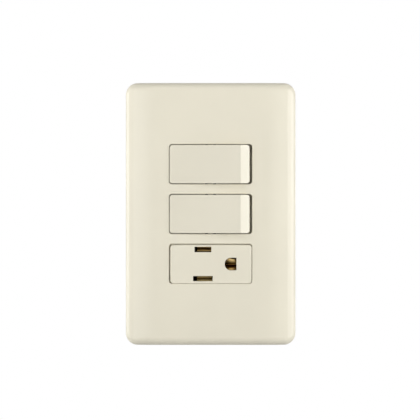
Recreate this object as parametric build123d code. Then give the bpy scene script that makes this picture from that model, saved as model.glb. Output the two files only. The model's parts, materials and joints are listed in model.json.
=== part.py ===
from build123d import *
import os
from math import asin, cos, hypot, pi, radians, sin, sqrt, tan

# Switch and socket combination for one wall box: two rocker switches above a grounded
# receptacle, clipped side by side into a pressed steel frame behind a screwless cover plate.
# Millimetres. +X is right, +Z is up and +Y runs into the wall, whose surface is y = 0.
# The origin is the centre of the plate on the wall. The rockers are drawn at rest, switched off.

# Cover plate
plate_width = 74.3
plate_height = 114.5
plate_depth = 8.2
plate_wall = 2.0
plate_corner_radius = 5.2
plate_edge_radius = 3.5
shoulder_width = 9.8  # curved band on each side of the flat middle
shoulder_slope = 16.5  # degrees that the band has turned where it meets the outer strip
strip_width = 3.75  # straight band outside the crease
strip_slope = 26.0  # degrees
crease_radius = 3.0

# Standard plug that the receptacle takes
blade_spacing = 12.7
blade_place = -3.5  # of both slots, from the middle
line_slot_length = 7.3
line_slot_height = 2.35
neutral_slot_length = 8.5
neutral_slot_height = 2.25
ground_place = 12.18  # of the ground pin from the line of the slots
ground_hole_radius = 2.72
ground_flat = 2.45  # from the hole's centre

# Windows in the plate, one above the other
window_width = 36.2
window_corner_radius = 1.3
window_bar = 4.25  # of the plate, between two windows
module_count = 3

# Plate claws, locating rib and pry notch
claw_width = 5.0
claw_thickness = 1.5
claw_barb = 1.0
claw_spacing_x = 30.0
claw_inset = 8.5  # from the ends of the mounting frame
catch_gap = 0.1  # between a catch and the sheet that it hooks behind
claw_side_gap = 0.25
rib_thickness = 1.2
rib_gap = 0.4  # round the row of modules
rib_clearance = 0.3  # short of the flanges
notch_width = 7.0
notch_depth = 1.0

# Pressed steel mounting frame
sheet_thickness = 1.2
sheet_rail_width = 4.8  # beside the opening
sheet_end_gap = 0.75  # to the inside of the plate's end walls
sheet_corner_chamfer = 3.0
opening_end_gap = 0.6
box_screw_inset = 8.82  # past the opening, which puts the screws 83.34 apart as in a standard box
box_slot_width = 5.0
box_slot_length = 8.0

# Box screws
box_screw_radius = 1.75
box_screw_neck_radius = 1.5
box_screw_neck_end = 0.3  # past the wall surface
box_screw_length = 20.0
box_screw_head_radius = 3.4
box_screw_head_height = 1.9

# What every module shares: body, flange, clips and latches
body_back = 22.0
body_side_gap = 0.6  # between neighbouring bodies
body_edge_chamfer = 0.8
flange_overlap = 1.8  # on the sheet, at each end
flange_thickness = 1.8
flange_gap = 0.4  # between neighbouring flanges
flange_corner_chamfer = 1.0
finger_gap = 0.2  # between body and clip
finger_thickness = 1.1
finger_width = 8.0
finger_clearance = 0.2  # between clip and sheet
finger_barb = 0.9
finger_reach = 1.8  # past the back of the sheet
latch_width = 5.0
latch_thickness = 1.2
latch_offset = 8.0  # from the middle of the module, along X
latch_length = 6.8
latch_hook = 0.6
latch_hook_length = 1.2
latch_gap = 0.1
latch_side_gap = 0.15
latch_hook_gap = 0.1
collar_gap = 0.2  # behind the front wall of the plate
collar_end_wall = 1.55
well_margin_x = 0.2  # the well round a rocker is this much wider than the window, each side
well_margin_z = 0.05

# Rocker
rocker_side_gap = 0.375  # to the window, above and below
rocker_end_gap = 0.8  # to the window at mid swing
rocker_swing = 11.0  # degrees from off to on
pivot_depth = 4.6  # pivot axis behind the plate's front
rocker_proud = 2.0  # of the plate's front, at mid swing
rocker_dish = 0.45  # hollow of the main face
facet_length = 3.55
facet_drop = 2.55
rocker_top_wall = 1.6
rocker_end_wall = 1.5
rocker_side_wall = 1.4
rocker_corner_radius = 1.2
rocker_stop_gap = 0.15  # left above the well's floor at each limit
pin_radius = 1.2
pin_hole_gap = 0.03
pin_end_gap = 0.25
ear_half = 1.95  # ear round each pin
ear_gap = 0.4
stem_half = 2.7  # square stem under the middle of the rocker
stem_bore_half = 1.8
stem_end = 7.0  # past the pivot axis
stem_gap = 0.9
web_thickness = 1.0

# Plunger and spring
plunger_gap = 0.05  # in the stem
plunger_start = 2.4
plunger_neck = 9.2
plunger_tip_radius = 1.2
plunger_tip_centre = 11.4
plunger_lever_gap = 0.05  # at mid swing
spring_wire = 0.4
spring_turns = 4
spring_sides = 6  # straight lengths in one turn of the square wire
spring_side_gap = 0.15
spring_end_gap = 0.05

# Contact lever
lever_swing = 18.0
lever_thickness = 0.8
lever_width = 6.0
lever_end_gap = 1.8  # to the end of the cavity
lever_corner_chamfer = 1.2
bead_lever_radius = 1.1
bead_seat_gap = 0.05
contact_inset = 1.3  # from the lever's end
contact_width = 2.4
contact_length = 3.2
contact_height = 0.9
contact_dome_radius = 2.0
contact_gap = 0.1  # left when the switch is on

# Switch terminals
terminal_thickness = 1.0
terminal_margin = 0.5  # narrower than a clamp, on each side
fixed_contact_size = 3.2
fixed_contact_height = 0.8
fixed_contact_chamfer = 0.2
fixed_contact_shift = 0.2  # outwards, to where the tilted moving contact lands
load_strip_lip = 0.5  # past the fixed contact
post_half_width = 1.3
post_top_gap = 0.2  # under the tilted lever
stop_pip_half = 1.2
stop_pip_gap = 0.1

# Terminal screws and clamps
clamp_floor_gap = 1.5  # from a clamp to the back of its pocket
screw_radius = 1.75
screw_hole_gap = 0.1
screw_head_radius = 2.9
screw_head_height = 2.3
screw_tip = 1.3  # past the terminal
screw_tip_gap = 0.52  # from the ground screw to the ground contact
screw_recess = 0.75  # of the heads in the body's ends
screw_slot_width = 1.0
screw_slot_depth = 0.9
clamp_thickness = 1.1
clamp_gap = 0.05
wire_inset = 1.1  # from a clamp's edge to the middle of a wire
wire_hole_size = 2.8  # square wire entries in the back
wire_groove_depth = 0.6

# Insides of a module body
end_plate_lead = 0.4  # of a terminal's end plate past its clamp
pocket_front_gap = 0.4
pocket_side_gap = 0.25  # round a clamp
pocket_inner_depth = 2.1  # behind a terminal's end plate
pocket_end_wall = 0.95
pocket_middle_wall = 2.3  # between the receptacle's two left pockets
cavity_wall = 1.0
cavity_half_height = 4.6
seat_gap = 0.05  # between a metal piece and the moulding that it lies on
core_wall = 1.6
core_margin = 1.8

# Receptacle
insert_gap_x = 0.4
insert_gap_z = 0.38
insert_proud = 0.4
insert_corner_radius = 1.3
insert_edge_chamfer = 0.25
insert_wall = 2.2
slot_wall = 0.82  # between a blade slot and the insert's edge
hole_edge_chamfer = 0.15
receptacle_play = 0.12  # the module sits this far right of and below the middle of its window

# Receptacle contacts
leaf_thickness = 0.5
leaf_length = 6.5
leaf_place = -2.8
leaf_mouth = -4.4
outer_leaf_offset = 0.6  # inner face of the flat leaf from the middle of the blade
throat_place = -2.6
throat_offset = 0.15  # inner face of the bowed leaf at its throat
mouth_offset = -0.8
back_offset = -1.15
back_place = 1.0
strip_front = 11.0
strip_thickness = 0.8
strip_height = 2.8
chamber_end_gap = 0.2  # past both ends of the longer slot
chamber_half_height = 2.3
ground_half = 3.0  # of the ground contact's strip and of its leaves' full width
ground_tip_half = 1.3  # the leaves narrow to this at their mouth
ground_taper = -3.6
ground_mouth = -5.2
ground_throat = -3.4
ground_upper_throat = 0.5  # inner face of the upper leaf above the middle of the pin
ground_lower_throat = 1.4  # inner face of the lower leaf below it
ground_mouth_offset = 2.45
ground_back_offset = 2.3
ground_back = 1.5
ground_gap = 0.35  # from the contact to the moulding round it

# Worked out from the driving sizes: heights of windows and modules
insert_height = blade_spacing + line_slot_height + 2 * slot_wall
window_height = insert_height + 2 * insert_gap_z
module_pitch = window_height + window_bar
module_levels = [module_pitch * ((module_count - 1) / 2 - index) for index in range(module_count)]
body_height = module_pitch - body_side_gap
flange_height = module_pitch - flange_gap
pocket_half = (body_height / 2 - pocket_end_wall - pocket_middle_wall / 2) / 2
receptacle_screw_offset = pocket_middle_wall / 2 + pocket_half
clamp_size = 2 * (pocket_half - pocket_side_gap)
terminal_width = clamp_size - 2 * terminal_margin
wire_spacing = clamp_size - 2 * wire_inset

# Places along X
flat_half = plate_width / 2 - strip_width - shoulder_width
insert_width = window_width - 2 * insert_gap_x
ground_x = blade_place + ground_place
end_plate_place = ground_x + ground_half + screw_tip_gap + screw_tip
end_plate_outer = end_plate_place + terminal_thickness
clamp_inner = end_plate_outer + clamp_gap
wire_place = end_plate_outer + clamp_gap / 2
body_width = 2 * (clamp_inner + clamp_thickness + screw_head_height + screw_recess)
pocket_wall_place = end_plate_place - pocket_inner_depth
cavity_half_width = pocket_wall_place - cavity_wall
lever_reach = cavity_half_width - lever_end_gap
contact_offset = lever_reach - contact_inset
fixed_contact_offset = contact_offset + fixed_contact_shift
load_strip_end = fixed_contact_offset - fixed_contact_size / 2 - load_strip_lip

# Depths of the plate and the modules
plate_front = -plate_depth
plate_inside = plate_front + plate_wall
collar_front = plate_inside + collar_gap
flange_back = -sheet_thickness
flange_front = flange_back - flange_thickness
insert_front = plate_front - insert_proud
chamber_front = insert_front + insert_wall
strip_back = strip_front + strip_thickness
receptacle_floor = strip_back + seat_gap

# Mounting frame, flanges and collars
sheet_opening_width = body_width + 2 * (finger_gap + finger_thickness + finger_clearance)
sheet_opening_height = (module_count - 1) * module_pitch + body_height + 2 * opening_end_gap
sheet_width = sheet_opening_width + 2 * sheet_rail_width
sheet_height = plate_height - 2 * (plate_wall + sheet_end_gap)
claw_spacing_z = sheet_height - 2 * claw_inset
box_screw_spacing = sheet_opening_height + 2 * box_screw_inset
flange_width = sheet_opening_width + 2 * flange_overlap
collar_width = window_width + 2 * (well_margin_x + collar_end_wall)

# Rocker, plunger, lever and contacts, from the pivot axis inwards
rest_angle = -rocker_swing / 2
half_swing = radians(rocker_swing / 2)
pivot_level = plate_front + pivot_depth
rocker_length = window_width - 2 * rocker_end_gap
rocker_height = window_height - 2 * rocker_side_gap
rocker_face = plate_front - rocker_proud - pivot_level
floor_from_pivot = flange_front - pivot_level
skirt_end = (floor_from_pivot - rocker_stop_gap - rocker_length / 2 * sin(half_swing)) / cos(half_swing)
well_half_width = window_width / 2 + well_margin_x
well_half_height = window_height / 2 + well_margin_z
pin_reach = body_height / 2 - pin_end_gap
plunger_half = stem_bore_half - plunger_gap
lever_rest_angle = lever_swing / 2
half_lever_swing = radians(lever_swing / 2)
lever_face = plunger_tip_centre + plunger_tip_radius + plunger_lever_gap
lever_level = pivot_level + lever_face + lever_thickness / 2
contact_face = lever_thickness / 2 + contact_height
contact_low = (
    lever_level
    + contact_offset * sin(half_lever_swing)
    + (contact_face - contact_dome_radius) * cos(half_lever_swing)
    + contact_dome_radius
)
fixed_contact_front = contact_low + contact_gap
terminal_front = fixed_contact_front + fixed_contact_height
terminal_back = terminal_front + terminal_thickness
cavity_floor = terminal_back + seat_gap
core_front = cavity_floor + core_wall
screw_depth = cavity_floor - clamp_floor_gap - clamp_size / 2
end_plate_front = screw_depth - clamp_size / 2 - end_plate_lead
beyond = 1.0  # how far a cutting tool runs past the surface that it opens


def block(x0, x1, y0, y1, z0, z1):
    """A box given by its limits."""
    centre = Pos((x0 + x1) / 2, (y0 + y1) / 2, (z0 + z1) / 2)
    return centre * Box(abs(x1 - x0), abs(y1 - y0), abs(z1 - z0))


def bar(half_x, y0, y1, half_z):
    """A box centred on X and Z."""
    return block(-half_x, half_x, y0, y1, -half_z, half_z)


def rounded_bar(width, height, radius, y0, y1):
    """A bar with round corners, seen from the front."""
    face = RectangleRounded(width, height, radius)
    return Pos(0, y0, 0) * Rot(-90, 0, 0) * extrude(face, amount=y1 - y0)


def cropped_bar(width, height, corner, y0, y1):
    """A bar with bevelled corners, seen from the front."""
    solid = bar(width / 2, y0, y1, height / 2)
    return chamfer(solid.edges().filter_by(Axis.Y), corner)


def rod_y(radius, y0, y1, x=0.0, z=0.0):
    """A cylinder that runs into the wall."""
    return Pos(x, (y0 + y1) / 2, z) * Rot(90, 0, 0) * Cylinder(radius, abs(y1 - y0))


def rod_x(radius, x0, x1, y=0.0, z=0.0):
    return Pos((x0 + x1) / 2, y, z) * Rot(0, 90, 0) * Cylinder(radius, abs(x1 - x0))


def rod_z(radius, z0, z1, x=0.0, y=0.0):
    return Pos(x, y, (z0 + z1) / 2) * Cylinder(radius, abs(z1 - z0))


def turned(points, x=0.0, z=0.0):
    """A solid of revolution about an axis into the wall, from (radius, y) points."""
    outline = Polyline(*[(radius, y) for radius, y in points], close=True)
    return Pos(x, 0, z) * revolve(make_face(outline), Axis.Y)


def on_rounded_edge(point, width, height, radius):
    """Whether a point lies on the outline of a rounded rectangle, seen from the front."""
    dx = abs(point.X) - (width / 2 - radius)
    dz = abs(point.Z) - (height / 2 - radius)
    reach = hypot(max(dx, 0), max(dz, 0)) + min(max(dx, dz), 0)
    return abs(reach - radius) < 1e-3


def front_loop(shape, width, height, radius, deepest):
    """The edges round the front of a rounded form, in front of the level deepest."""
    return [
        edge
        for edge in shape.edges()
        if all(on_rounded_edge(edge @ t, width, height, radius) for t in (0, 0.5, 1))
        and max((edge @ t).Y for t in (0, 0.5, 1)) < deepest - 1e-3
        and abs((edge @ 0).Y - (edge @ 1).Y) < plate_wall
    ]


def domed_bar(width, height, front, inset):
    """A bar with the plate's curved front, or with its hollow's when inset is the wall."""
    half = width / 2
    bend = shoulder_width / sin(radians(shoulder_slope)) - inset
    crease = crease_radius - inset
    a, b = radians(shoulder_slope), radians(strip_slope)
    shoulder_end = (flat_half + bend * sin(a), front + bend * (1 - cos(a)))
    shoulder_middle = (flat_half + bend * sin(a / 2), front + bend * (1 - cos(a / 2)))
    centre = (shoulder_end[0] - crease * sin(a), shoulder_end[1] + crease * cos(a))
    mid = (a + b) / 2
    crease_middle = (centre[0] + crease * sin(mid), centre[1] - crease * cos(mid))
    crease_end = (centre[0] + crease * sin(b), centre[1] - crease * cos(b))
    edge_level = crease_end[1] + (half - crease_end[0]) * tan(b)
    right = [
        Line((0, front), (flat_half, front)),
        ThreePointArc((flat_half, front), shoulder_middle, shoulder_end),
        ThreePointArc(shoulder_end, crease_middle, crease_end),
        Line(crease_end, (half, edge_level)),
        Line((half, edge_level), (half, 0)),
        Line((half, 0), (0, 0)),
        Line((0, 0), (0, front)),
    ]
    half_face = make_face(Curve() + right)
    section = half_face + mirror(half_face, Plane.YZ)
    return extrude(section, amount=height / 2, both=True)


def window_tool(level, y0, y1):
    return Pos(0, 0, level) * rounded_bar(window_width, window_height, window_corner_radius, y0, y1)


def claw(side_x, side_z):
    """A springy claw of the plate, hooked behind the mounting frame."""
    inner = claw_spacing_z / 2 - claw_thickness / 2
    outer = inner + claw_thickness
    points = [
        (plate_inside - plate_wall / 2, inner),
        (catch_gap + 2 * claw_barb, inner),
        (catch_gap + 2 * claw_barb, outer - claw_thickness / 3),
        (catch_gap, outer + claw_barb),
        (catch_gap, outer),
        (plate_inside - plate_wall / 2, outer),
    ]
    outline = Polyline(*[(y, side_z * z) for y, z in points], close=True)
    face = Plane.YZ * make_face(outline)
    place = side_x * claw_spacing_x / 2
    return Pos(place, 0, 0) * extrude(face, amount=claw_width / 2, both=True)


def wall_plate():
    shell = domed_bar(plate_width, plate_height, plate_front, 0)
    shell &= rounded_bar(plate_width, plate_height, plate_corner_radius, plate_front - beyond, beyond)
    shell = fillet(front_loop(shell, plate_width, plate_height, plate_corner_radius, 0), plate_edge_radius)
    inside_width = plate_width - 2 * plate_wall
    inside_height = plate_height - 2 * plate_wall
    hollow = domed_bar(inside_width, inside_height, plate_inside, plate_wall)
    crop = plate_corner_radius - plate_wall
    shell -= hollow & cropped_bar(inside_width, inside_height, crop, plate_inside - beyond, beyond)
    rib_half_x = collar_width / 2 + rib_gap
    rib_half_z = (module_count - 1) / 2 * module_pitch + body_height / 2 + rib_gap
    rib_front = plate_inside - plate_wall / 2
    rib_back = flange_front - rib_clearance
    rib = bar(rib_half_x + rib_thickness, rib_front, rib_back, rib_half_z + rib_thickness)
    rib -= bar(rib_half_x, rib_front - beyond, rib_back + beyond, rib_half_z)
    shell += rib
    for side_x in (-1, 1):
        for side_z in (-1, 1):
            shell += claw(side_x, side_z)
    for level in module_levels:
        shell -= window_tool(level, plate_front - beyond, plate_inside + beyond)
    bottom = -plate_height / 2
    shell -= block(
        -notch_width / 2, notch_width / 2, -notch_depth, beyond, bottom - beyond, bottom + plate_wall + beyond
    )
    return shell


def mounting_frame():
    """The pressed sheet that the modules clip into and the box screws hold."""
    sheet = cropped_bar(sheet_width, sheet_height, sheet_corner_chamfer, -sheet_thickness, 0)
    sheet -= bar(sheet_opening_width / 2, -sheet_thickness - beyond, beyond, sheet_opening_height / 2)
    slot = Rot(-90, 0, 0) * extrude(
        SlotOverall(box_slot_length, box_slot_width), amount=sheet_thickness + beyond, both=True
    )
    claw_slot = bar(
        claw_width / 2 + claw_side_gap,
        -sheet_thickness - beyond,
        beyond,
        claw_thickness / 2 + claw_side_gap,
    )
    for side_z in (-1, 1):
        sheet -= Pos(0, 0, side_z * box_screw_spacing / 2) * slot
        for side_x in (-1, 1):
            sheet -= Pos(side_x * claw_spacing_x / 2, 0, side_z * claw_spacing_z / 2) * claw_slot
    return sheet


def box_screw(level):
    head_front = -sheet_thickness - box_screw_head_height
    profile = [
        (0, head_front),
        (box_screw_head_radius, head_front),
        (box_screw_head_radius, -sheet_thickness),
        (box_screw_neck_radius, -sheet_thickness),
        (box_screw_neck_radius, box_screw_neck_end),
        (box_screw_radius, box_screw_neck_end),
        (box_screw_radius, box_screw_length),
        (0, box_screw_length),
    ]
    screw = turned(profile)
    slot = block(
        -box_screw_head_radius,
        box_screw_head_radius,
        head_front - beyond,
        head_front + screw_slot_depth,
        -screw_slot_width / 2,
        screw_slot_width / 2,
    )
    return Pos(0, 0, level) * (screw - slot)


def clip_finger(side):
    """A finger of a module that hooks behind the side rail of the mounting frame."""
    inner = body_width / 2 + finger_gap
    outer = inner + finger_thickness
    end = catch_gap + finger_reach
    points = [
        (inner, flange_back - flange_thickness / 2),
        (outer, flange_back - flange_thickness / 2),
        (outer, catch_gap),
        (outer + finger_barb, catch_gap),
        (outer + finger_barb, catch_gap + finger_barb / 2),
        (outer - finger_thickness / 3, end),
        (inner, end),
    ]
    outline = Polyline(*[(side * x, y) for x, y in points], close=True)
    return extrude(make_face(outline), amount=finger_width / 2, both=True)


def latch_leg(side_x, side_z):
    """A leg of a module's front that hooks into a recess of its body."""
    outer = body_height / 2 - latch_gap
    inner = outer - latch_thickness
    end = flange_back + latch_length
    points = [
        (flange_back - flange_thickness / 2, outer),
        (flange_back - flange_thickness / 2, inner),
        (end - 2 * latch_hook_length, inner),
        (end - latch_hook_length, inner - latch_hook),
        (end, inner - latch_hook / 3),
        (end, outer),
    ]
    outline = Polyline(*[(y, side_z * z) for y, z in points], close=True)
    face = Plane.YZ * make_face(outline)
    return Pos(side_x * latch_offset, 0, 0) * extrude(face, amount=latch_width / 2, both=True)


def latch_recess(side_x, side_z):
    """The recess that a latch leg drops into, with the pocket that its hook fills."""
    inner = body_height / 2 - latch_gap - latch_thickness - latch_gap
    start = flange_back - beyond
    end = flange_back + latch_length + latch_side_gap
    half = latch_width / 2 + latch_side_gap
    centre = side_x * latch_offset
    top = side_z * (body_height / 2 + beyond)
    recess = block(centre - half, centre + half, start, end, side_z * inner, top)
    hook_start = end - 2 * latch_hook_length - latch_side_gap - latch_hook_gap
    pocket = block(
        centre - half, centre + half, hook_start, end, side_z * (inner - latch_hook - latch_hook_gap), top
    )
    return recess + pocket


def module_front():
    """The flange with its clip fingers and latch legs, before a module adds its own front."""
    front = cropped_bar(flange_width, flange_height, flange_corner_chamfer, flange_front, flange_back)
    for side in (-1, 1):
        front += clip_finger(side)
        for side_z in (-1, 1):
            front += latch_leg(side, side_z)
    return front


def collar_block():
    """The raised block behind the plate's window."""
    return bar(collar_width / 2, collar_front, flange_front, body_height / 2)


def switch_frame():
    """Front moulding of a switch: flange, well for the rocker and bearing holes for its pins."""
    front = module_front() + collar_block()
    front -= bar(well_half_width, collar_front - beyond, flange_front, well_half_height)
    front -= bar(stem_half + stem_gap, flange_front - beyond, flange_back + beyond, stem_half + stem_gap)
    ear_floor = ear_half + ear_gap
    for side in (-1, 1):
        inner = side * (rocker_height / 2 - rocker_side_wall - ear_gap)
        front -= block(
            -ear_floor, ear_floor, flange_front - beyond, flange_back + beyond, inner, side * well_half_height
        )
        front -= rod_z(
            pin_radius + pin_hole_gap,
            side * (well_half_height - beyond),
            side * (body_height / 2 + beyond),
            0,
            pivot_level,
        )
    return front


def rocker():
    """The rocker at mid swing, drawn round its pivot axis."""
    half = rocker_length / 2
    ridge = half - facet_length
    facet_end = rocker_face + facet_drop
    dish_middle = ((ridge - half) / 2, rocker_face + rocker_dish)
    outline = Curve() + [
        ThreePointArc((-half, rocker_face), dish_middle, (ridge, rocker_face)),
        Line((ridge, rocker_face), (half, facet_end)),
        Line((half, facet_end), (half, skirt_end)),
        Line((half, skirt_end), (-half, skirt_end)),
        Line((-half, skirt_end), (-half, rocker_face)),
    ]
    body = extrude(make_face(outline), amount=rocker_height / 2, both=True)
    front, back = rocker_face - beyond, skirt_end + beyond
    body &= rounded_bar(rocker_length, rocker_height, rocker_corner_radius, front, back)

    inner_face = rocker_face + rocker_dish + rocker_top_wall
    inner_half = half - rocker_end_wall
    inner_ridge = ridge - rocker_top_wall / 2
    slope = facet_drop / facet_length
    hollow = Polyline(
        (-inner_half, skirt_end + beyond),
        (-inner_half, inner_face),
        (inner_ridge, inner_face),
        (inner_half, inner_face + (inner_half - inner_ridge) * slope),
        (inner_half, skirt_end + beyond),
        close=True,
    )
    inner_height = rocker_height / 2 - rocker_side_wall
    body -= extrude(make_face(hollow), amount=inner_height, both=True)

    ear_outline = Polyline(
        (-ear_half, inner_face),
        (-ear_half, 0),
        (-ear_half / 2, ear_half),
        (ear_half / 2, ear_half),
        (ear_half, 0),
        (ear_half, inner_face),
        close=True,
    )
    ear = Pos(0, 0, inner_height) * extrude(make_face(ear_outline), amount=rocker_side_wall)
    for side in (-1, 1):
        side_outer = side * rocker_height / 2
        body += mirror(ear, Plane.XY) if side < 0 else ear
        body += rod_z(pin_radius, side_outer, side * pin_reach)
    body += bar(stem_half, inner_face - rocker_top_wall / 2, stem_end, stem_half)
    body += block(
        -web_thickness / 2,
        web_thickness / 2,
        inner_face - rocker_top_wall / 2,
        skirt_end,
        -inner_height,
        inner_height,
    )
    body += block(
        -inner_half - rocker_end_wall / 2,
        inner_ridge,
        inner_face - rocker_top_wall / 4,
        inner_face + rocker_top_wall,
        -web_thickness / 2,
        web_thickness / 2,
    )
    return body - bar(stem_bore_half, inner_face, stem_end + beyond, stem_bore_half)


def plunger():
    """The round-nosed plunger that the spring drives against the contact lever."""
    tip = (0, plunger_tip_centre + plunger_tip_radius)
    side = [
        (plunger_tip_radius, plunger_tip_centre),
        (plunger_half, plunger_neck),
        (plunger_half, plunger_start),
    ]
    other_side = [(-x, y) for x, y in reversed(side)]
    profile = Curve() + [Polyline(*side, *other_side), ThreePointArc(other_side[-1], tip, side[0])]
    return extrude(make_face(profile), amount=plunger_half, both=True)


def spring():
    """The compression spring inside the stem, wound from square wire."""
    start = rocker_face + rocker_dish + rocker_top_wall + spring_end_gap + spring_wire / 2
    end = plunger_start - spring_end_gap - spring_wire / 2
    radius = stem_bore_half - spring_side_gap - spring_wire / 2
    steps = round(spring_turns * spring_sides)
    turns = [2 * pi * step / spring_sides for step in range(steps + 1)]
    rise = (end - start) / turns[-1]
    path = Polyline(*[(radius * cos(turn), start + rise * turn, radius * sin(turn)) for turn in turns])
    section = Plane(origin=path @ 0, x_dir=(0, 1, 0), z_dir=path % 0) * Rectangle(spring_wire, spring_wire)
    return sweep(section, path=path, transition=Transition.RIGHT)


def contact_lever():
    """The rocking brass strip, drawn level round its bead."""
    half = lever_thickness / 2
    strip = bar(lever_reach, -half, half, lever_width / 2)
    strip = chamfer(strip.edges().filter_by(Axis.Y), lever_corner_chamfer)
    bead = rod_z(bead_lever_radius, -lever_width / 2, lever_width / 2)
    return strip + (bead & bar(bead_lever_radius, 0, bead_lever_radius, lever_width / 2))


def moving_contact():
    """A half-round contact bar brazed across the lever's end."""
    seat = lever_thickness / 2
    half = contact_width / 2
    rim = contact_face - contact_dome_radius * (1 - cos(asin(half / contact_dome_radius)))
    profile = Curve() + [
        Polyline((-half, rim), (-half, seat), (half, seat), (half, rim)),
        ThreePointArc((half, rim), (0, contact_face), (-half, rim)),
    ]
    return Pos(-contact_offset, 0, 0) * extrude(make_face(profile), amount=contact_length / 2, both=True)


def end_plate(side, level=0.0):
    """The upright end of a terminal, which the terminal screw goes through."""
    half = terminal_width / 2
    plate = block(
        side * end_plate_place,
        side * end_plate_outer,
        end_plate_front,
        terminal_back,
        level - half,
        level + half,
    )
    return plate - rod_x(
        screw_radius + screw_hole_gap,
        side * (end_plate_place - beyond),
        side * (end_plate_outer + beyond),
        screw_depth,
        level,
    )


def common_terminal():
    """Terminal with the saddle that the lever rocks on and the pip that stops it when off."""
    half = terminal_width / 2
    strip = block(-post_half_width, end_plate_outer, terminal_front, terminal_back, -half, half)
    post_top = (
        lever_level
        + post_half_width * tan(half_lever_swing)
        + lever_thickness / 2 / cos(half_lever_swing)
        + post_top_gap
    )
    strip += block(-post_half_width, post_half_width, post_top, terminal_back, -half, half)
    strip -= rod_z(bead_lever_radius + bead_seat_gap, -half - beyond, half + beyond, 0, lever_level)
    pip_place = contact_offset
    pip_front = (
        lever_level
        + (pip_place + stop_pip_half) * tan(half_lever_swing)
        + lever_thickness / 2 / cos(half_lever_swing)
        + stop_pip_gap
    )
    strip += Pos(pip_place, 0, 0) * bar(stop_pip_half, pip_front, terminal_back, stop_pip_half)
    return strip + end_plate(1)


def load_terminal():
    """Terminal that carries the fixed contact."""
    half = terminal_width / 2
    strip = block(-end_plate_outer, -load_strip_end, terminal_front, terminal_back, -half, half)
    return strip + end_plate(-1)


def fixed_contact():
    """The square contact tile brazed on the load terminal."""
    half = fixed_contact_size / 2
    tile = bar(half, fixed_contact_front, terminal_front, half)
    tile = chamfer(tile.edges().group_by(Axis.Y)[0], fixed_contact_chamfer)
    return Pos(-fixed_contact_offset, 0, 0) * tile


def screw_head(hexagonal):
    """The head's outline, seen along the screw."""
    return RegularPolygon(screw_head_radius, 6) if hexagonal else Circle(screw_head_radius)


def terminal_screw(side, level=0.0, hexagonal=False):
    """A slotted screw along X, its head outside the clamp."""
    seat = clamp_inner + clamp_thickness
    head = seat + screw_head_height
    screw = rod_x(screw_radius, end_plate_place - screw_tip, seat, screw_depth)
    outline = screw_head(hexagonal)
    screw += Pos(seat, screw_depth, 0) * Rot(0, 90, 0) * extrude(outline, amount=screw_head_height)
    screw -= block(
        head - screw_slot_depth,
        head + beyond,
        screw_depth - screw_head_radius,
        screw_depth + screw_head_radius,
        -screw_slot_width / 2,
        screw_slot_width / 2,
    )
    placed = Pos(0, 0, level) * screw
    return placed if side > 0 else mirror(placed, Plane.YZ)


def terminal_clamp(side, level=0.0):
    """The forked pressure plate under a terminal screw, grooved for two wires."""
    half = clamp_size / 2
    plate = block(
        clamp_inner, clamp_inner + clamp_thickness, screw_depth - half, screw_depth + half, -half, half
    )
    notch_half = screw_radius + screw_hole_gap
    plate -= block(
        clamp_inner - beyond,
        clamp_inner + clamp_thickness + beyond,
        screw_depth - half - beyond,
        screw_depth + notch_half,
        -notch_half,
        notch_half,
    )
    for wire in (-1, 1):
        groove = Pos(clamp_inner, screw_depth, wire * wire_spacing / 2) * Rot(0, 45, 0)
        groove_side = wire_groove_depth * sqrt(2)
        plate -= groove * Box(groove_side, clamp_size + beyond, groove_side)
    placed = Pos(0, 0, level) * plate
    return placed if side > 0 else mirror(placed, Plane.YZ)


def terminal_pocket(side, level=0.0):
    """The pocket for a terminal screw, open at the module's end, with its two wire holes."""
    front = end_plate_front - pocket_front_gap
    pocket = block(
        side * pocket_wall_place,
        side * (body_width / 2 + beyond),
        front,
        cavity_floor,
        level - pocket_half,
        level + pocket_half,
    )
    for wire in (-1, 1):
        hole = bar(wire_hole_size / 2, cavity_floor - beyond, body_back + beyond, wire_hole_size / 2)
        pocket += Pos(side * wire_place, 0, level + wire * wire_spacing / 2) * hole
    return pocket


def module_body():
    """The moulded body behind the flange, with recesses for the four latch legs."""
    body = bar(body_width / 2, flange_back, body_back, body_height / 2)
    long_edges = body.edges().filter_by(Axis.Y)
    back_edges = body.edges().group_by(Axis.Y)[-1]
    body = chamfer(long_edges + back_edges, body_edge_chamfer)
    for side_x in (-1, 1):
        for side_z in (-1, 1):
            body -= latch_recess(side_x, side_z)
    return body


def cored(body, front, half_width, columns):
    """Moulding cores that lighten the back of a body, in equal columns."""
    width = (2 * half_width - (columns - 1) * core_wall) / columns
    half_height = body_height / 2 - core_margin
    for index in range(columns):
        left = -half_width + index * (width + core_wall)
        body -= block(left, left + width, front, body_back + beyond, -half_height, half_height)
    return body


def switch_base():
    """Body of a switch: mechanism cavity, notches for the two terminals and their pockets."""
    body = module_body()
    body -= bar(cavity_half_width, flange_back - beyond, cavity_floor, cavity_half_height)
    notch_half = terminal_width / 2 + pocket_side_gap
    body -= bar(pocket_wall_place + beyond, flange_back - beyond, cavity_floor, notch_half)
    for side in (-1, 1):
        body -= terminal_pocket(side)
    return cored(body, core_front, cavity_half_width, 2)


def blade_chamber(sign, front, back):
    """Room for one pair of blade contacts, above or below the middle."""
    centre = blade_spacing / 2
    half = neutral_slot_length / 2 + chamber_end_gap
    return block(
        blade_place - half,
        blade_place + half,
        front,
        back,
        sign * (centre - chamber_half_height),
        sign * (centre + line_slot_height / 2),
    )


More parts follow.
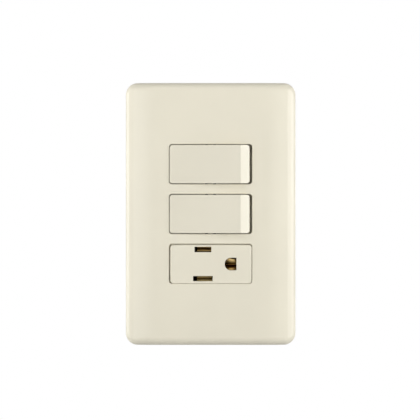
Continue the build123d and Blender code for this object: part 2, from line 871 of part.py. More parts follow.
def receptacle_face():
    """Front moulding of the receptacle, with two blade slots and the ground hole."""
    insert = rounded_bar(insert_width, insert_height, insert_corner_radius, insert_front, flange_front)
    insert = chamfer(insert.edges().group_by(Axis.Y)[0], insert_edge_chamfer)
    front = module_front() + collar_block() + insert
    for sign in (-1, 1):
        front -= blade_chamber(sign, chamber_front, flange_back + beyond)
    chamber_half = ground_half + ground_gap
    front -= Pos(ground_x, 0, 0) * bar(chamber_half, chamber_front, flange_back + beyond, chamber_half)

    wall_front, wall_back = insert_front - beyond, chamber_front + beyond
    slots = [(1, line_slot_length, line_slot_height), (-1, neutral_slot_length, neutral_slot_height)]
    for sign, length, height in slots:
        front -= block(
            blade_place - length / 2,
            blade_place + length / 2,
            wall_front,
            wall_back,
            sign * blade_spacing / 2 - height / 2,
            sign * blade_spacing / 2 + height / 2,
        )
    hole = rod_y(ground_hole_radius, wall_front, wall_back, ground_x)
    hole &= block(
        ground_x - ground_hole_radius, ground_x, wall_front, wall_back, -ground_hole_radius, ground_hole_radius
    )
    hole += block(
        ground_x, ground_x + ground_flat, wall_front, wall_back, -ground_hole_radius, ground_hole_radius
    )
    front -= hole
    rims = [
        edge
        for edge in front.edges()
        if abs((edge @ 0.5).Y - insert_front) < 1e-3
        and abs((edge @ 0.5).X) < insert_width / 2 - insert_corner_radius
        and abs((edge @ 0.5).Z) < insert_height / 2 - insert_edge_chamfer - 1e-3
    ]
    return chamfer(rims, hole_edge_chamfer)


def receptacle_base():
    """Body of the receptacle: contact chambers, channels to the end pockets and wire holes."""
    body = module_body()
    notch_low = blade_spacing / 2 - chamber_half_height
    notch_high = blade_spacing / 2 + line_slot_height / 2
    for sign in (-1, 1):
        body -= blade_chamber(sign, flange_back - beyond, receptacle_floor)
        body -= block(
            -pocket_wall_place - beyond,
            leaf_place - leaf_length / 2,
            flange_back - beyond,
            receptacle_floor,
            sign * notch_low,
            sign * notch_high,
        )
        body -= terminal_pocket(-1, sign * receptacle_screw_offset)
    chamber_half = ground_half + ground_gap
    body -= block(
        ground_x - chamber_half,
        pocket_wall_place + beyond,
        flange_back - beyond,
        receptacle_floor,
        -chamber_half,
        chamber_half,
    )
    body -= terminal_pocket(1)
    return cored(body, core_front, cavity_half_width, 2)


def blade_contact(sign):
    """A flat leaf and a bowed leaf that grip one blade, with their strip and end plate."""
    centre = blade_spacing / 2
    flat_in = centre + outer_leaf_offset
    flat_out = centre + line_slot_height / 2 - seat_gap
    bowed = [
        (leaf_mouth, centre + mouth_offset),
        (throat_place, centre + throat_offset),
        (back_place, centre + back_offset),
        (strip_back, centre + back_offset),
    ]
    inner_side = [(y, z - leaf_thickness) for y, z in reversed(bowed)]
    bowed_leaf = Polyline(*[(y, sign * z) for y, z in bowed + inner_side], close=True)
    face = Plane.YZ * make_face(bowed_leaf)
    half = leaf_length / 2
    contact = Pos(leaf_place, 0, 0) * extrude(face, amount=half, both=True)
    contact += block(
        leaf_place - half, leaf_place + half, leaf_mouth, strip_back, sign * flat_in, sign * flat_out
    )
    low = centre + back_offset - leaf_thickness
    contact += block(
        leaf_place - half, leaf_place + half, strip_front, strip_back, sign * low, sign * flat_out
    )
    contact += block(
        -end_plate_place,
        leaf_place - half,
        strip_front,
        strip_back,
        sign * low,
        sign * (low + strip_height),
    )
    return contact + end_plate(-1, sign * receptacle_screw_offset)


def ground_contact():
    """Two bowed leaves with tapered lips that grip the round ground pin from above and below."""
    middle = (ground_throat + ground_mouth) / 2
    plan = Polyline(
        (-ground_tip_half, ground_mouth - beyond),
        (-ground_tip_half, ground_mouth),
        (-ground_half, ground_taper),
        (-ground_half, strip_back),
        (ground_half, strip_back),
        (ground_half, ground_taper),
        (ground_tip_half, ground_mouth),
        (ground_tip_half, ground_mouth - beyond),
        close=True,
    )
    width = extrude(make_face(plan), amount=ground_half + beyond, both=True)
    leaves = []
    for sign, throat in ((1, ground_upper_throat), (-1, ground_lower_throat)):
        inner = [
            (ground_mouth, ground_mouth_offset),
            (middle, (throat + ground_mouth_offset) / 2 - leaf_thickness),
            (ground_throat, throat),
            (ground_back, ground_back_offset),
            (strip_back, ground_back_offset),
        ]
        outer = [(y, z + leaf_thickness) for y, z in reversed(inner)]
        leaf = make_face(Plane.YZ * Polyline(*[(y, sign * z) for y, z in inner + outer], close=True))
        leaves.append(extrude(leaf, amount=ground_half, both=True) & width)
    contact = Pos(ground_x, 0, 0) * (leaves[0] + leaves[1])
    contact += block(
        ground_x - ground_half, end_plate_place, strip_front, strip_back, -ground_half, ground_half
    )
    return contact + end_plate(1)


pieces = {
    "wall_plate": wall_plate(),
    "mounting_frame": mounting_frame(),
    "box_screw_top": box_screw(box_screw_spacing / 2),
    "box_screw_bottom": box_screw(-box_screw_spacing / 2),
}

rocker_pose = Pos(0, pivot_level, 0) * Rot(0, 0, rest_angle)
lever_pose = Pos(0, lever_level, 0) * Rot(0, 0, lever_rest_angle)
switch_pieces = {
    "switch_frame": switch_frame(),
    "switch_base": switch_base(),
    "rocker": rocker_pose * rocker(),
    "plunger": rocker_pose * plunger(),
    "spring": rocker_pose * spring(),
    "contact_lever": lever_pose * contact_lever(),
    "moving_contact": lever_pose * moving_contact(),
    "common_terminal": common_terminal(),
    "load_terminal": load_terminal(),
    "fixed_contact": fixed_contact(),
    "common_screw": terminal_screw(1),
    "load_screw": terminal_screw(-1),
    "common_clamp": terminal_clamp(1),
    "load_clamp": terminal_clamp(-1),
}
for switch, level in zip(("upper", "lower"), module_levels):
    for name, shape in switch_pieces.items():
        pieces[f"{switch}_{name}"] = Pos(0, 0, level) * shape

receptacle_pieces = {
    "receptacle_face": receptacle_face(),
    "receptacle_base": receptacle_base(),
    "line_contact": blade_contact(1),
    "neutral_contact": blade_contact(-1),
    "ground_contact": ground_contact(),
    "line_screw": terminal_screw(-1, receptacle_screw_offset),
    "neutral_screw": terminal_screw(-1, -receptacle_screw_offset),
    "ground_screw": terminal_screw(1, hexagonal=True),
    "line_clamp": terminal_clamp(-1, receptacle_screw_offset),
    "neutral_clamp": terminal_clamp(-1, -receptacle_screw_offset),
    "ground_clamp": terminal_clamp(1),
}
for name, shape in receptacle_pieces.items():
    pieces[name] = Pos(receptacle_play, 0, module_levels[-1] - receptacle_play) * shape

os.makedirs("parts", exist_ok=True)
for name, shape in pieces.items():
    export_step(shape, f"parts/{name}.step")
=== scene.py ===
import json
import math

import bmesh
import bpy
from mathutils import Matrix, Vector


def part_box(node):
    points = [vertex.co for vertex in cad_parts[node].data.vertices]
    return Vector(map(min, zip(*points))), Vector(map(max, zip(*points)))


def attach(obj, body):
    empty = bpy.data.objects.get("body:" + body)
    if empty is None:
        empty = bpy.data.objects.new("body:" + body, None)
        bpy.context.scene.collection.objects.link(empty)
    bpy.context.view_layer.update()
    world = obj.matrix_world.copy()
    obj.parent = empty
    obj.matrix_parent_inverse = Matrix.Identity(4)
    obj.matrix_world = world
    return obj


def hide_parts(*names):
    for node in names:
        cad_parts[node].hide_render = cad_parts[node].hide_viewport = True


# Two rocker switches over a grounded socket in an almond screwless plate.
# Metres. +X is right, +Z is up, +Y runs into the wall, and the wall surface is y = 0.

MM = 0.001
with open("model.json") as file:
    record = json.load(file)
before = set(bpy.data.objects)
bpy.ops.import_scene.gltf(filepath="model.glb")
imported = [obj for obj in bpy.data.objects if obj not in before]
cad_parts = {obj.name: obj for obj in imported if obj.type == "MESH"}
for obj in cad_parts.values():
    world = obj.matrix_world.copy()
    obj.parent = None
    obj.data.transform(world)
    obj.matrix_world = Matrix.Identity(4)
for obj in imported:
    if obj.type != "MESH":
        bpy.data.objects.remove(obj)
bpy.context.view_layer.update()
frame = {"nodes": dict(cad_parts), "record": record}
node_slots = {part["node"]: part["material_slot"] for part in frame["record"]["subparts"]}
node_bodies = {node: body for body, nodes in frame["record"]["behaviour"]["bodies"].items() for node in nodes}

# Photograph: 420 pixels square, the plate 169.7 pixels wide, seen straight on through a long lens
PICTURE = 420
PLATE_PIXELS = 169.7
PLATE_CENTRE = (210.65, 213.95)
RIM_DEPTH = 5 * MM  # of the plate's widest outline behind its front
LENS = 200
SENSOR = 36

# Finishes: how fine the patterns are, in noise cells for each metre, and how deep their relief is
TONE_DRIFT = 45
MOULDED_GRAIN = 3500
GRAIN_DEPTH = 0.02 * MM
DRAWN_LINES = 2500
LINE_DEPTH = 0.01 * MM
TARNISH = 350
ALMOND = (0.78, 0.737, 0.604)
ALMOND_ROUGHNESS = 0.38
ROCKER_PAINTED_SHADE = 0.955  # painted shade: the rockers' almond is darkened a little for the shade their faces take as they tilt away from the light

# The socket's contacts: brass coloured by its depth in mm with painted light and shade, from the lips in front to
# the throat behind
PAINTED_SHADING_FROM = -6
PAINTED_SHADING_TO = 4
PAINTED_SHADING_WITHIN = 12 * MM  # to each side, where the end plates start
PLAIN_BRASS_BEYOND = 13.5 * MM
LINE_PAINTED_SHADING = ((-4.2, (0.4, 0.27, 0.1)), (-2.6, (0.36, 0.22, 0.08)), (0.5, (0.05, 0.03, 0.01)))
# The neutral lips are painted lighter than the line's: painted light for the light that does not reach them in the
# slot
NEUTRAL_PAINTED_SHADING = (
    (-4.4, (0.3, 0.23, 0.09)),
    (-3.8, (0.62, 0.47, 0.2)),
    (-2.6, (0.55, 0.4, 0.17)),
    (0.5, (0.08, 0.05, 0.02)),
)
# The ground leaves: painted highlights on the lips and further back, with a painted dark band between
GROUND_PAINTED_SHADING = (
    (-5.0, (0.64, 0.47, 0.21)),
    (-3.6, (0.74, 0.54, 0.24)),
    (-2.7, (0.4, 0.26, 0.09)),
    (-1.6, (0.7, 0.4, 0.15)),
    (0.0, (0.9, 0.5, 0.2)),
)

# Moulded edges
WINDOW_RADIUS = 0.14 * MM
BODY_RADIUS = 0.3 * MM
BODY_EDGE = 3 * MM  # shorter edges stay sharp
FLUSH = 0.01 * MM

# Rockers, at rest and turned square to the plate
PIVOT_DEPTH = -3.6 * MM
REST_TILT = math.radians(5.5)
ROCKER_HEIGHT = 16.7 * MM
ROCKER_RADIUS = 0.25 * MM
ROCKER_END = 1.3 * MM  # each end's share of the rim, with its corners
ROCKER_SIDE = 0.05 * MM  # the same along the two long sides
RIM_REACH = 3 * MM  # of the rim behind the rocker's front
RIDGE_PLACE = 13.05 * MM
RIDGE_NEAR = 0.3 * MM
RIDGE_FRONT = -10.5 * MM
RIDGE_WIDTH = 0.1 * MM

# The insert's lower side, drafted out towards the window
DRAFT = 0.22 * MM
DRAFT_HEIGHT = 0.7 * MM
INSERT_RIM = 1 * MM

# Springs and box screws
SPRING_WIRE = 0.2 * MM
SPRING_COIL = 1.3 * MM
SPRING_TURNS = 4
SPRING_STEPS = 28  # for each turn
WIRE_CORNERS = 10
SHAFT_START = 0.2 * MM
SHAFT_EDGE = 1.6 * MM
SHAFT_CORE = 1.42 * MM
THREAD_SECTION = ((1.38, -0.34), (1.73, -0.06), (1.73, 0.06), (1.38, 0.34))  # radius, and place along it, in mm
THREAD_START = 1 * MM
THREAD_PITCH = 0.794 * MM
THREAD_TURNS = 23
THREAD_STEPS = 24  # for each turn

# Socket contacts. A run is a leaf's step in mm across, back from the front, and up.
SOCKET_PLACE = 0.12 * MM
SOCKET_LEVEL = -21.82 * MM
STRIP_FRONT = 11 * MM
LIP_TURN = 84
LIP_STEPS = 12
LEAF_STEPS = 10
BLADE_OFFSET = 6.35 * MM
BLADE_PLACE = -2.8 * MM
BLADE_HALF = 3.25 * MM
BOWED_THROAT = (-2.6 * MM, 0.3 * MM)  # its depth, and its height outside the slot's middle
BOWED_BOW = (3.6, 1.2)  # mm back and inwards from the throat
BOWED_STRAIGHT = 10.1
BOWED_LIP = 1.25 * MM
BOWED_TIP_HALF = 3.2 * MM
BOWED_THICKNESS = 0.3 * MM
FLAT_MOUTH = -4.2 * MM
FLAT_STRAIGHT = 15.3
FLAT_THICKNESS = 0.4 * MM
GROUND_LEAF_PLACE = 8.88 * MM
GROUND_HALF = 2.8 * MM
GROUND_CROWN = 0.5 * MM
GROUND_THICKNESS = 0.35 * MM
GROUND_BOW = (4.8, 2.3)  # mm back from the throat, and outside the hole's middle
# Side, depth and height of the throat, radius of the lip, half its tip's width and the tip's slant, in mm
GROUND_LEAVES = (
    (1, 2.75, -0.45, 3.0, 2.2, 0.45),
    (-1, 0.5, 0.85, 2.1, 2.3, 0),
)

# Lamps and surround
LAMP_DISTANCE = 0.9
LAMP_SIZE = 0.45
SURROUND = 0.12
SOFT_BOXES = {  # degrees to the right of straight ahead, degrees above it, and watts
    "left_front": (-30, 0, 2.44),
    "left_near": (-45, 0, 0.34),
    "right_front": (30, 0, 1.15),
    "right_far": (72, 0, 6.46),
    "top_front": (0, 45, 1.09),
    "left_high": (-55, 30, 1.3),
    "left_edge": (-90, 0, 4.59),
}

# Floor: pale near the object, and white to the eye from WHITE_FROM to WHITE_BY away
FLOOR_DROP = 60 * MM
FLOOR_REACH = 3
FLOOR_GREY = 0.8
FLOOR_ROUGHNESS = 0.9
WHITE_FROM = 0.1
WHITE_BY = 0.24
WHITE_LEAST = 0.72


def new_material(name):
    material = bpy.data.materials.new(name)
    material.use_nodes = True
    nodes, links = material.node_tree.nodes, material.node_tree.links
    return material, nodes, links, nodes["Principled BSDF"]


def noise(nodes, links, place, scale, detail):
    pattern = nodes.new("ShaderNodeTexNoise")
    pattern.inputs["Scale"].default_value = scale
    pattern.inputs["Detail"].default_value = detail
    links.new(place, pattern.inputs["Vector"])
    return pattern.outputs["Fac"]


def two_tones(nodes, links, pattern, first, last, dark, light):
    """A colour that goes from dark to light while the pattern goes from first to last."""
    tones = nodes.new("ShaderNodeValToRGB")
    for stop, place, colour in zip(tones.color_ramp.elements, (first, last), (dark, light)):
        stop.position = place
        stop.color = (*colour, 1)
    links.new(pattern, tones.inputs["Fac"])
    return tones.outputs["Color"]


def between(nodes, links, pattern, low, high):
    """A value from low to high that follows the pattern."""
    value = nodes.new("ShaderNodeMapRange")
    value.inputs["To Min"].default_value = low
    value.inputs["To Max"].default_value = high
    links.new(pattern, value.inputs["Value"])
    return value.outputs["Result"]


def relief(nodes, links, pattern, strength, depth):
    bump = nodes.new("ShaderNodeBump")
    bump.inputs["Strength"].default_value = strength
    bump.inputs["Distance"].default_value = depth
    links.new(pattern, bump.inputs["Height"])
    return bump.outputs["Normal"]


def plastic(name, colour, roughness, drift=0.012, grain=0.15):
    """Moulded plastic: a faint drift of tone through the wall and a fine moulded grain."""
    material, nodes, links, shader = new_material(name)
    place = nodes.new("ShaderNodeTexCoord").outputs["Object"]
    clouds = noise(nodes, links, place, TONE_DRIFT, 2)
    dark = [part * (1 - drift) for part in colour]
    light = [min(part * (1 + drift), 1) for part in colour]
    links.new(two_tones(nodes, links, clouds, 0.35, 0.65, dark, light), shader.inputs["Base Color"])
    links.new(between(nodes, links, clouds, roughness - 0.03, roughness + 0.03), shader.inputs["Roughness"])
    pores = noise(nodes, links, place, MOULDED_GRAIN, 3)
    links.new(relief(nodes, links, pores, grain, GRAIN_DEPTH), shader.inputs["Normal"])
    return material


def metal(name, light, dark, roughness, stretch=(1, 1, 1)):
    """Rolled or turned metal: fine lines along the stretch, and a little tarnish in patches."""
    material, nodes, links, shader = new_material(name)
    shader.inputs["Metallic"].default_value = 1
    place = nodes.new("ShaderNodeTexCoord").outputs["Object"]
    turn = nodes.new("ShaderNodeMapping")
    turn.inputs["Scale"].default_value = stretch
    links.new(place, turn.inputs["Vector"])
    patches = noise(nodes, links, place, TARNISH, 4)
    links.new(two_tones(nodes, links, patches, 0.3, 0.7, dark, light), shader.inputs["Base Color"])
    links.new(between(nodes, links, patches, roughness - 0.06, roughness + 0.08), shader.inputs["Roughness"])
    lines = noise(nodes, links, turn.outputs["Vector"], DRAWN_LINES, 2)
    links.new(relief(nodes, links, lines, 0.2, LINE_DEPTH), shader.inputs["Normal"])
    return material


def contact_brass(name, depths, roughness):
    """Strip brass with painted light and shade by depth: lighter at the lips that plugs rub, and darkened as
    painted shade further into the socket.
    """
    material = metal(name, (0.62, 0.43, 0.17), (0.46, 0.3, 0.1), roughness)
    nodes, links = material.node_tree.nodes, material.node_tree.links
    shader = nodes["Principled BSDF"]
    # Painted light and shade, by depth into the socket
    split = nodes.new("ShaderNodeSeparateXYZ")
    links.new(nodes["Texture Coordinate"].outputs["Object"], split.inputs["Vector"])
    depth = nodes.new("ShaderNodeMapRange")
    depth.inputs["From Min"].default_value = PAINTED_SHADING_FROM * MM
    depth.inputs["From Max"].default_value = PAINTED_SHADING_TO * MM
    links.new(split.outputs["Y"], depth.inputs["Value"])
    painted_shading = nodes.new("ShaderNodeValToRGB")
    stops = painted_shading.color_ramp.elements
    while len(stops) < len(depths):
        stops.new(0.5)
    for stop, (place, colour) in zip(stops, depths):
        stop.position = (place - PAINTED_SHADING_FROM) / (PAINTED_SHADING_TO - PAINTED_SHADING_FROM)
        stop.color = (*colour, 1)
    links.new(depth.outputs["Result"], painted_shading.inputs["Fac"])
    across = nodes.new("ShaderNodeMath")
    across.operation = "ABSOLUTE"
    links.new(split.outputs["X"], across.inputs[0])
    inside = nodes.new("ShaderNodeMapRange")
    inside.inputs["From Min"].default_value = PLAIN_BRASS_BEYOND
    inside.inputs["From Max"].default_value = PAINTED_SHADING_WITHIN
    links.new(across.outputs[0], inside.inputs["Value"])
    blend = nodes.new("ShaderNodeMix")
    blend.data_type = "RGBA"
    links.new(inside.outputs["Result"], blend.inputs["Factor"])
    links.new(shader.inputs["Base Color"].links[0].from_socket, blend.inputs["A"])
    links.new(painted_shading.outputs["Color"], blend.inputs["B"])
    links.new(blend.outputs["Result"], shader.inputs["Base Color"])
    return material


almond = plastic("almond_plastic", ALMOND, ALMOND_ROUGHNESS)
finishes = {
    "plate_plastic": almond,
    # the rockers' almond with painted shade, darker than the plate's
    "rocker_plastic": plastic("rocker_almond_painted_shade", [part * ROCKER_PAINTED_SHADE for part in ALMOND], ALMOND_ROUGHNESS),
    "face_plastic": almond,
    "base_plastic": plastic("grey_body_plastic", (0.13, 0.13, 0.125), 0.5, drift=0.05, grain=0.3),
    "plunger_plastic": plastic("white_nylon", (0.7, 0.7, 0.67), 0.45),
    "zinc_steel": metal("zinc_plated_steel", (0.62, 0.62, 0.6), (0.5, 0.5, 0.49), 0.34, (1, 1, 0.05)),
    "spring_steel": metal("spring_steel", (0.32, 0.32, 0.33), (0.24, 0.24, 0.25), 0.3),
    "brass": metal("brass_strip", (0.66, 0.46, 0.17), (0.5, 0.32, 0.11), 0.28, (1, 0.05, 1)),
    "silver": metal("silver_contact", (0.8, 0.79, 0.75), (0.66, 0.65, 0.62), 0.3),
    "green_screw": metal("green_screw", (0.05, 0.27, 0.09), (0.03, 0.18, 0.06), 0.3),
    "screw_brass": metal("brass_screw", (0.68, 0.49, 0.2), (0.52, 0.35, 0.13), 0.3),
    "screw_nickel": metal("nickel_screw", (0.6, 0.58, 0.54), (0.5, 0.48, 0.45), 0.3),
}
# Contact brass with painted light and shade by depth
line_brass_painted_shading = contact_brass("line_contact_painted_shading", LINE_PAINTED_SHADING, 0.5)
neutral_brass_painted_shading = contact_brass("neutral_contact_painted_shading", NEUTRAL_PAINTED_SHADING, 0.5)
ground_brass_painted_shading = contact_brass("ground_contact_painted_shading", GROUND_PAINTED_SHADING, 0.34)

finished = set()


def finish_piece(name, form, node, angle=32, finish=None):
    """Makes the bmesh the piece that stands for the CAD node, moves with its body and has its finish."""
    mesh = bpy.data.meshes.new(name)
    form.to_mesh(mesh)
    form.free()
    piece = bpy.data.objects.new(name, mesh)
    bpy.context.scene.collection.objects.link(piece)
    mesh.materials.append(finish or finishes[node_slots[node]])
    mesh.shade_smooth()
    mesh.set_sharp_from_angle(angle=math.radians(angle))
    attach(piece, node_bodies[node])
    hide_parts(node)
    even = piece.modifiers.new("even_normals", "WEIGHTED_NORMAL")
    even.keep_sharp = True
    even.weight = 100
    finished.add(node)


def joined(node):
    """A bmesh of the node with its facets joined into whole flat faces."""
    form = bmesh.new()
    form.from_mesh(frame["nodes"][node].data)
    bmesh.ops.remove_doubles(form, verts=form.verts, dist=0.0005 * MM)
    bmesh.ops.dissolve_limit(form, angle_limit=math.radians(0.1), verts=form.verts, edges=form.edges)
    return form


def join_in(form, other, name):
    """Adds the other bmesh to the form, and frees it."""
    part = bpy.data.meshes.new(name)
    other.to_mesh(part)
    other.free()
    form.from_mesh(part)
    bpy.data.meshes.remove(part)


def bevel_edges(form, edges, width, segments):
    bmesh.ops.bevel(
        form, geom=edges, offset=width, offset_type="OFFSET", affect="EDGES", segments=segments, profile=0.5,
        material=-1, clamp_overlap=True,
    )


def sharp_edges(form, angle, where):
    """The edges that turn by more than the angle and whose middle passes the test."""
    return [
        edge
        for edge in form.edges
        if len(edge.link_faces) == 2
        and edge.calc_face_angle() > math.radians(angle)
        and where((edge.verts[0].co + edge.verts[1].co) / 2)
    ]


def middle_level(node):
    low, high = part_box(node)
    return (low.z + high.z) / 2


def cover_plate():
    """The plate, its three windows edged with a small radius."""
    form = joined("wall_plate")
    front = min(vert.co.y for vert in form.verts)
    rims = sharp_edges(form, 60, lambda middle: middle.y < front + FLUSH)
    bevel_edges(form, rims, WINDOW_RADIUS, 3)
    finish_piece("cover_plate", form, "wall_plate")


def tilt_to_upright(level):
    """The turn about the pivot that brings a rocker at rest square to the plate."""
    pivot = Vector((0, PIVOT_DEPTH, level))
    return Matrix.Translation(pivot) @ Matrix.Rotation(REST_TILT, 4, "Z") @ Matrix.Translation(-pivot)


def rocker_button(switch):
    """A rocker with softly rounded edges round its dished face, and its ridge just broken."""
    node = f"{switch}_rocker"
    form = joined(node)
    cad_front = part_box(node)[0].y
    level = middle_level(node)
    upright = tilt_to_upright(level)
    bmesh.ops.transform(form, matrix=upright, verts=form.verts)
    half_length = max(vert.co.x for vert in form.verts)
    front = min(vert.co.y for vert in form.verts)

    def on_rim(middle):
        at_end = abs(middle.x) > half_length - ROCKER_END
        at_side = abs(middle.z - level) > ROCKER_HEIGHT / 2 - ROCKER_SIDE
        return (at_end or at_side) and middle.y < front + RIM_REACH

    def on_ridge(middle):
        return abs(middle.x - RIDGE_PLACE) < RIDGE_NEAR and middle.y < RIDGE_FRONT

    bevel_edges(form, sharp_edges(form, 45, on_rim), ROCKER_RADIUS, 3)
    bmesh.ops.transform(form, matrix=upright.inverted(), verts=form.verts)
    bevel_edges(form, sharp_edges(form, 20, on_ridge), RIDGE_WIDTH, 1)
    for vert in form.verts:
        vert.co.y = max(vert.co.y, cad_front)
    finish_piece(f"{switch}_rocker_button", form, node, angle=25)


def insert_front():
    """The socket's insert: its lower side is drafted out until it nearly closes on the window."""
    form = joined("receptacle_face")
    front = min(vert.co.y for vert in form.verts)
    rim = [vert for vert in form.verts if vert.co.y < front + INSERT_RIM]
    low = min(vert.co.z for vert in rim)
    for vert in rim:
        vert.co.z -= DRAFT * max(0, 1 - (vert.co.z - low) / DRAFT_HEIGHT)
    finish_piece("insert_front", form, "receptacle_face", angle=50)


def moulded_body(node):
    """A grey body, its long outer edges rounded where two of its outer sides meet."""
    form = joined(node)
    low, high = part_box(node)
    corners = []
    for edge in form.edges:
        if len(edge.link_faces) != 2 or edge.calc_length() < BODY_EDGE:
            continue
        ends = [vert.co for vert in edge.verts]
        sides_met = sum(
            all(abs(end[axis] - side[axis]) < FLUSH for end in ends) for axis in range(3) for side in (low, high)
        )
        if sides_met == 2:
            corners.append(edge)
    bevel_edges(form, corners, BODY_RADIUS, 3)
    finish_piece(f"{node}_finished", form, node)


def wind(form, section, centre, pitch, turns, steps):
    """Sweeps a closed section of (radius, place along Y) points along a helix round the Y axis."""
    wire = bmesh.new()
    ring = [wire.verts.new(centre + Vector((radius, along, 0))) for radius, along in section]
    loop = [wire.edges.new((ring[number - 1], ring[number])) for number in range(len(ring))]
    bmesh.ops.spin(
        wire, geom=ring + loop, cent=centre, axis=(0, 1, 0), dvec=(0, pitch / steps, 0), angle=math.tau * turns,
        steps=turns * steps,
    )
    bmesh.ops.holes_fill(wire, edges=[edge for edge in wire.edges if edge.is_boundary])
    bmesh.ops.recalc_face_normals(wire, faces=wire.faces)
    join_in(form, wire, "wire")


def coil_spring(switch):
    """The rocker's spring, wound from round wire."""
    node = f"{switch}_spring"
    level = middle_level(node)
    upright = tilt_to_upright(level)
    depths = [(upright @ vert.co).y for vert in frame["nodes"][node].data.vertices]
    first, last = min(depths) + SPRING_WIRE, max(depths) - SPRING_WIRE
    corners = [math.tau * number / WIRE_CORNERS for number in range(WIRE_CORNERS)]
    section = [(SPRING_COIL + SPRING_WIRE * math.cos(turn), SPRING_WIRE * math.sin(turn)) for turn in corners]
    form = bmesh.new()
    wind(form, section, Vector((0, first, level)), (last - first) / SPRING_TURNS, SPRING_TURNS, SPRING_STEPS)
    bmesh.ops.transform(form, matrix=upright.inverted(), verts=form.verts)
    finish_piece(f"{switch}_coil_spring", form, node, angle=60)


def box_screw(place):
    """A box screw with its thread round the shaft, which is drawn in to the thread's root."""
    node = f"box_screw_{place}"
    form = joined(node)
    low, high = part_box(node)
    axis = (low + high) / 2
    for vert in form.verts:
        out = Vector((vert.co.x - axis.x, 0, vert.co.z - axis.z))
        if vert.co.y > SHAFT_START and out.length > SHAFT_EDGE:
            vert.co -= out * (1 - SHAFT_CORE / out.length)
    section = [(radius * MM, along * MM) for radius, along in THREAD_SECTION]
    wind(form, section, Vector((axis.x, THREAD_START, axis.z)), THREAD_PITCH, THREAD_TURNS, THREAD_STEPS)
    finish_piece(f"threaded_{node}", form, node, angle=30)


def add_leaf(form, throat, runs, half, thickness, lip=None):
    """A leaf of strip across X that runs back from its throat, in mm, and may roll out to the front in a lip."""
    sheet = bmesh.new()
    start = sheet.verts.new(throat)
    if lip:
        sign, radius, tip_half, crown, slant = lip
        bmesh.ops.spin(
            sheet, geom=[start], cent=throat + Vector((0, 0, sign * radius)), axis=(1, 0, 0),
            angle=math.radians(-LIP_TURN) * sign, steps=LIP_STEPS,
        )
    back = [start]
    for run in runs:
        back = bmesh.ops.extrude_vert_indiv(sheet, verts=back)["verts"]
        bmesh.ops.translate(sheet, verts=back, vec=Vector(run) * MM)
    bmesh.ops.translate(sheet, verts=sheet.verts, vec=(-half, 0, 0))
    profile = sheet.edges[:]
    for _ in range(LEAF_STEPS):
        made = bmesh.ops.extrude_edge_only(sheet, edges=profile)["geom"]
        fresh = {item for item in made if isinstance(item, bmesh.types.BMVert)}
        bmesh.ops.translate(sheet, verts=list(fresh), vec=(2 * half / LEAF_STEPS, 0, 0))
        profile = [item for item in made if isinstance(item, bmesh.types.BMEdge) and set(item.verts) <= fresh]
    if lip:
        for vert in sheet.verts:
            share = max(0, min(1, (throat.y - vert.co.y) / radius))
            beside = (vert.co.x - throat.x) / half
            vert.co.x = throat.x + beside * (half + (tip_half - half) * share)
            vert.co.y += crown * beside**2 * share
            vert.co.z -= slant * beside * share
    bmesh.ops.recalc_face_normals(sheet, faces=sheet.faces)
    bmesh.ops.solidify(sheet, geom=sheet.faces, thickness=thickness)
    bmesh.ops.recalc_face_normals(sheet, faces=sheet.faces)
    join_in(form, sheet, "leaf")


def strip_only(node):
    """The node's strip and end plate, cut off in front of the strip."""
    form = joined(node)
    geometry = form.verts[:] + form.edges[:] + form.faces[:]
    bmesh.ops.bisect_plane(form, geom=geometry, plane_co=(0, STRIP_FRONT, 0), plane_no=(0, -1, 0), clear_outer=True)
    bmesh.ops.holes_fill(form, edges=[edge for edge in form.edges if edge.is_boundary])
    return form


def blade_contact(node, sign, flat_offset, finish):
    """A bowed leaf with a rolled lip, which presses a blade against a flat one."""
    form = strip_only(node)
    middle = SOCKET_LEVEL + sign * BLADE_OFFSET
    place = SOCKET_PLACE + BLADE_PLACE
    throat_depth, throat_offset = BOWED_THROAT
    throat = Vector((place, throat_depth, middle + sign * throat_offset))
    bow_back, bow_in = BOWED_BOW
    bowed_runs = ((0, bow_back, -sign * bow_in), (0, BOWED_STRAIGHT, 0))
    lip = (-sign, BOWED_LIP, BOWED_TIP_HALF, 0, 0)
    add_leaf(form, throat, bowed_runs, BLADE_HALF, BOWED_THICKNESS, lip)
    mouth = Vector((place, FLAT_MOUTH, middle + sign * flat_offset))
    add_leaf(form, mouth, ((0, FLAT_STRAIGHT, 0),), BLADE_HALF, FLAT_THICKNESS)
    finish_piece(f"{node}_leaves", form, node, angle=40, finish=finish)


def ground_contact():
    """Two bowed leaves whose rolled lips show golden in the ground hole."""
    form = strip_only("ground_contact")
    bow_back, widest = GROUND_BOW
    for sign, depth, height, radius, tip_half, slant in GROUND_LEAVES:
        throat = Vector((SOCKET_PLACE + GROUND_LEAF_PLACE, -depth * MM, SOCKET_LEVEL + sign * height * MM))
        runs = ((0, bow_back, sign * (widest - height)), (0, STRIP_FRONT / MM - bow_back + depth, 0))
        lip = (sign, radius * MM, tip_half * MM, GROUND_CROWN, slant * MM)
        add_leaf(form, throat, runs, GROUND_HALF, GROUND_THICKNESS, lip)
    finish_piece("ground_contact_leaves", form, "ground_contact", angle=40, finish=ground_brass_painted_shading)


cover_plate()
insert_front()
for switch in ("upper", "lower"):
    rocker_button(switch)
    coil_spring(switch)
for place in ("top", "bottom"):
    box_screw(place)
blade_contact("line_contact", 1, 0.85 * MM, line_brass_painted_shading)
blade_contact("neutral_contact", -1, 1.0 * MM, neutral_brass_painted_shading)
ground_contact()
for node in frame["nodes"]:
    if node in finished:
        continue
    if node_slots[node] == "base_plastic":
        moulded_body(node)
    else:
        finish_piece(f"{node}_finished", joined(node), node)

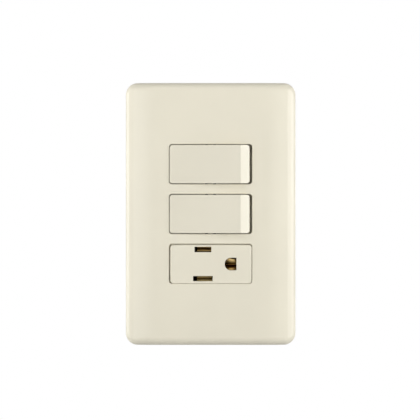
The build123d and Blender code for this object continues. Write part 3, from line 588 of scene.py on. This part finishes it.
# Camera: as far off as the long lens needs to draw the plate at the photograph's size
plate_low, plate_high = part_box("wall_plate")
pixel = (plate_high.x - plate_low.x) / PLATE_PIXELS
middle = (plate_low + plate_high) / 2
distance = PICTURE * pixel * LENS / SENSOR - RIM_DEPTH
lens = bpy.data.cameras.new("camera")
lens.lens = LENS
lens.sensor_width = SENSOR
lens.clip_start = 0.01
camera = bpy.data.objects.new("camera", lens)
camera.location = (
    middle.x - (PLATE_CENTRE[0] - PICTURE / 2) * pixel,
    plate_low.y - distance,
    middle.z + (PLATE_CENTRE[1] - PICTURE / 2) * pixel,
)
camera.rotation_euler = (math.radians(90), 0, 0)
bpy.context.scene.collection.objects.link(camera)
bpy.context.scene.camera = camera


def soft_box(name, turn, rise, watts):
    """A square lamp aimed at the plate, so many degrees to the right of straight ahead and above it."""
    lamp = bpy.data.lights.new(name, "AREA")
    lamp.shape = "SQUARE"
    lamp.size = LAMP_SIZE
    lamp.energy = watts
    holder = bpy.data.objects.new(name, lamp)
    turn, rise = math.radians(turn), math.radians(rise)
    aim = Vector((math.sin(turn) * math.cos(rise), -math.cos(turn) * math.cos(rise), math.sin(rise)))
    holder.location = aim * LAMP_DISTANCE
    holder.rotation_euler = (-aim).to_track_quat("-Z", "Y").to_euler()
    bpy.context.scene.collection.objects.link(holder)


def combine(nodes, links, operation, first, second):
    math_node = nodes.new("ShaderNodeMath")
    math_node.operation = operation
    links.new(first, math_node.inputs[0])
    links.new(second, math_node.inputs[1])
    return math_node.outputs[0]


def white_to_camera(nodes, links, plain, share=None):
    """Turns the plain shader pure white, or by a share, where the camera, gloss or glass looks straight at it."""
    path = nodes.new("ShaderNodeLightPath").outputs
    seen = combine(nodes, links, "MAXIMUM", path["Is Camera Ray"], path["Is Glossy Ray"])
    seen = combine(nodes, links, "MAXIMUM", seen, path["Is Transmission Ray"])
    if share:
        seen = combine(nodes, links, "MULTIPLY", seen, share)
    white = nodes.new("ShaderNodeBackground" if plain.type == "BACKGROUND" else "ShaderNodeEmission")
    white.inputs["Color"].default_value = (1, 1, 1, 1)
    white.inputs["Strength"].default_value = 1
    mix = nodes.new("ShaderNodeMixShader")
    links.new(seen, mix.inputs["Fac"])
    links.new(plain.outputs[0], mix.inputs[1])
    links.new(white.outputs[0], mix.inputs[2])
    return mix.outputs[0]


# Light: soft boxes to both sides, before and above the plate, and a faint even surround
for name, (turn, rise, watts) in SOFT_BOXES.items():
    soft_box(name, turn, rise, watts)

world = bpy.data.worlds.new("studio")
world.use_nodes = True
bpy.context.scene.world = world
nodes, links = world.node_tree.nodes, world.node_tree.links
plain = nodes["Background"]
plain.inputs["Color"].default_value = (1, 1, 1, 1)
plain.inputs["Strength"].default_value = SURROUND
links.new(white_to_camera(nodes, links, plain), nodes["World Output"].inputs["Surface"])

# Floor below the picture: pale, with the object's shadow, and white to the eye further out
floor_form = bmesh.new()
bmesh.ops.create_grid(floor_form, x_segments=1, y_segments=1, size=FLOOR_REACH)
bmesh.ops.translate(floor_form, verts=floor_form.verts, vec=(0, 0, plate_low.z - FLOOR_DROP))
floor_mesh = bpy.data.meshes.new("floor")
floor_form.to_mesh(floor_mesh)
floor_form.free()
floor = bpy.data.objects.new("floor", floor_mesh)
bpy.context.scene.collection.objects.link(floor)
material, nodes, links, shader = new_material("pale_floor")
shader.inputs["Base Color"].default_value = (FLOOR_GREY, FLOOR_GREY, FLOOR_GREY, 1)
shader.inputs["Roughness"].default_value = FLOOR_ROUGHNESS
shader.inputs["Specular IOR Level"].default_value = 0
flatten = nodes.new("ShaderNodeMapping")
flatten.inputs["Scale"].default_value = (1, 1, 0)
links.new(nodes.new("ShaderNodeTexCoord").outputs["Object"], flatten.inputs["Vector"])
span = nodes.new("ShaderNodeVectorMath")
span.operation = "LENGTH"
links.new(flatten.outputs["Vector"], span.inputs[0])
whitening = nodes.new("ShaderNodeMapRange")
whitening.interpolation_type = "SMOOTHSTEP"
whitening.inputs["From Min"].default_value = WHITE_FROM
whitening.inputs["From Max"].default_value = WHITE_BY
whitening.inputs["To Min"].default_value = WHITE_LEAST
links.new(span.outputs["Value"], whitening.inputs["Value"])
surface = white_to_camera(nodes, links, shader, whitening.outputs["Result"])
links.new(surface, nodes["Material Output"].inputs["Surface"])
floor.data.materials.append(material)

bpy.context.scene.view_settings.view_transform = "Standard"
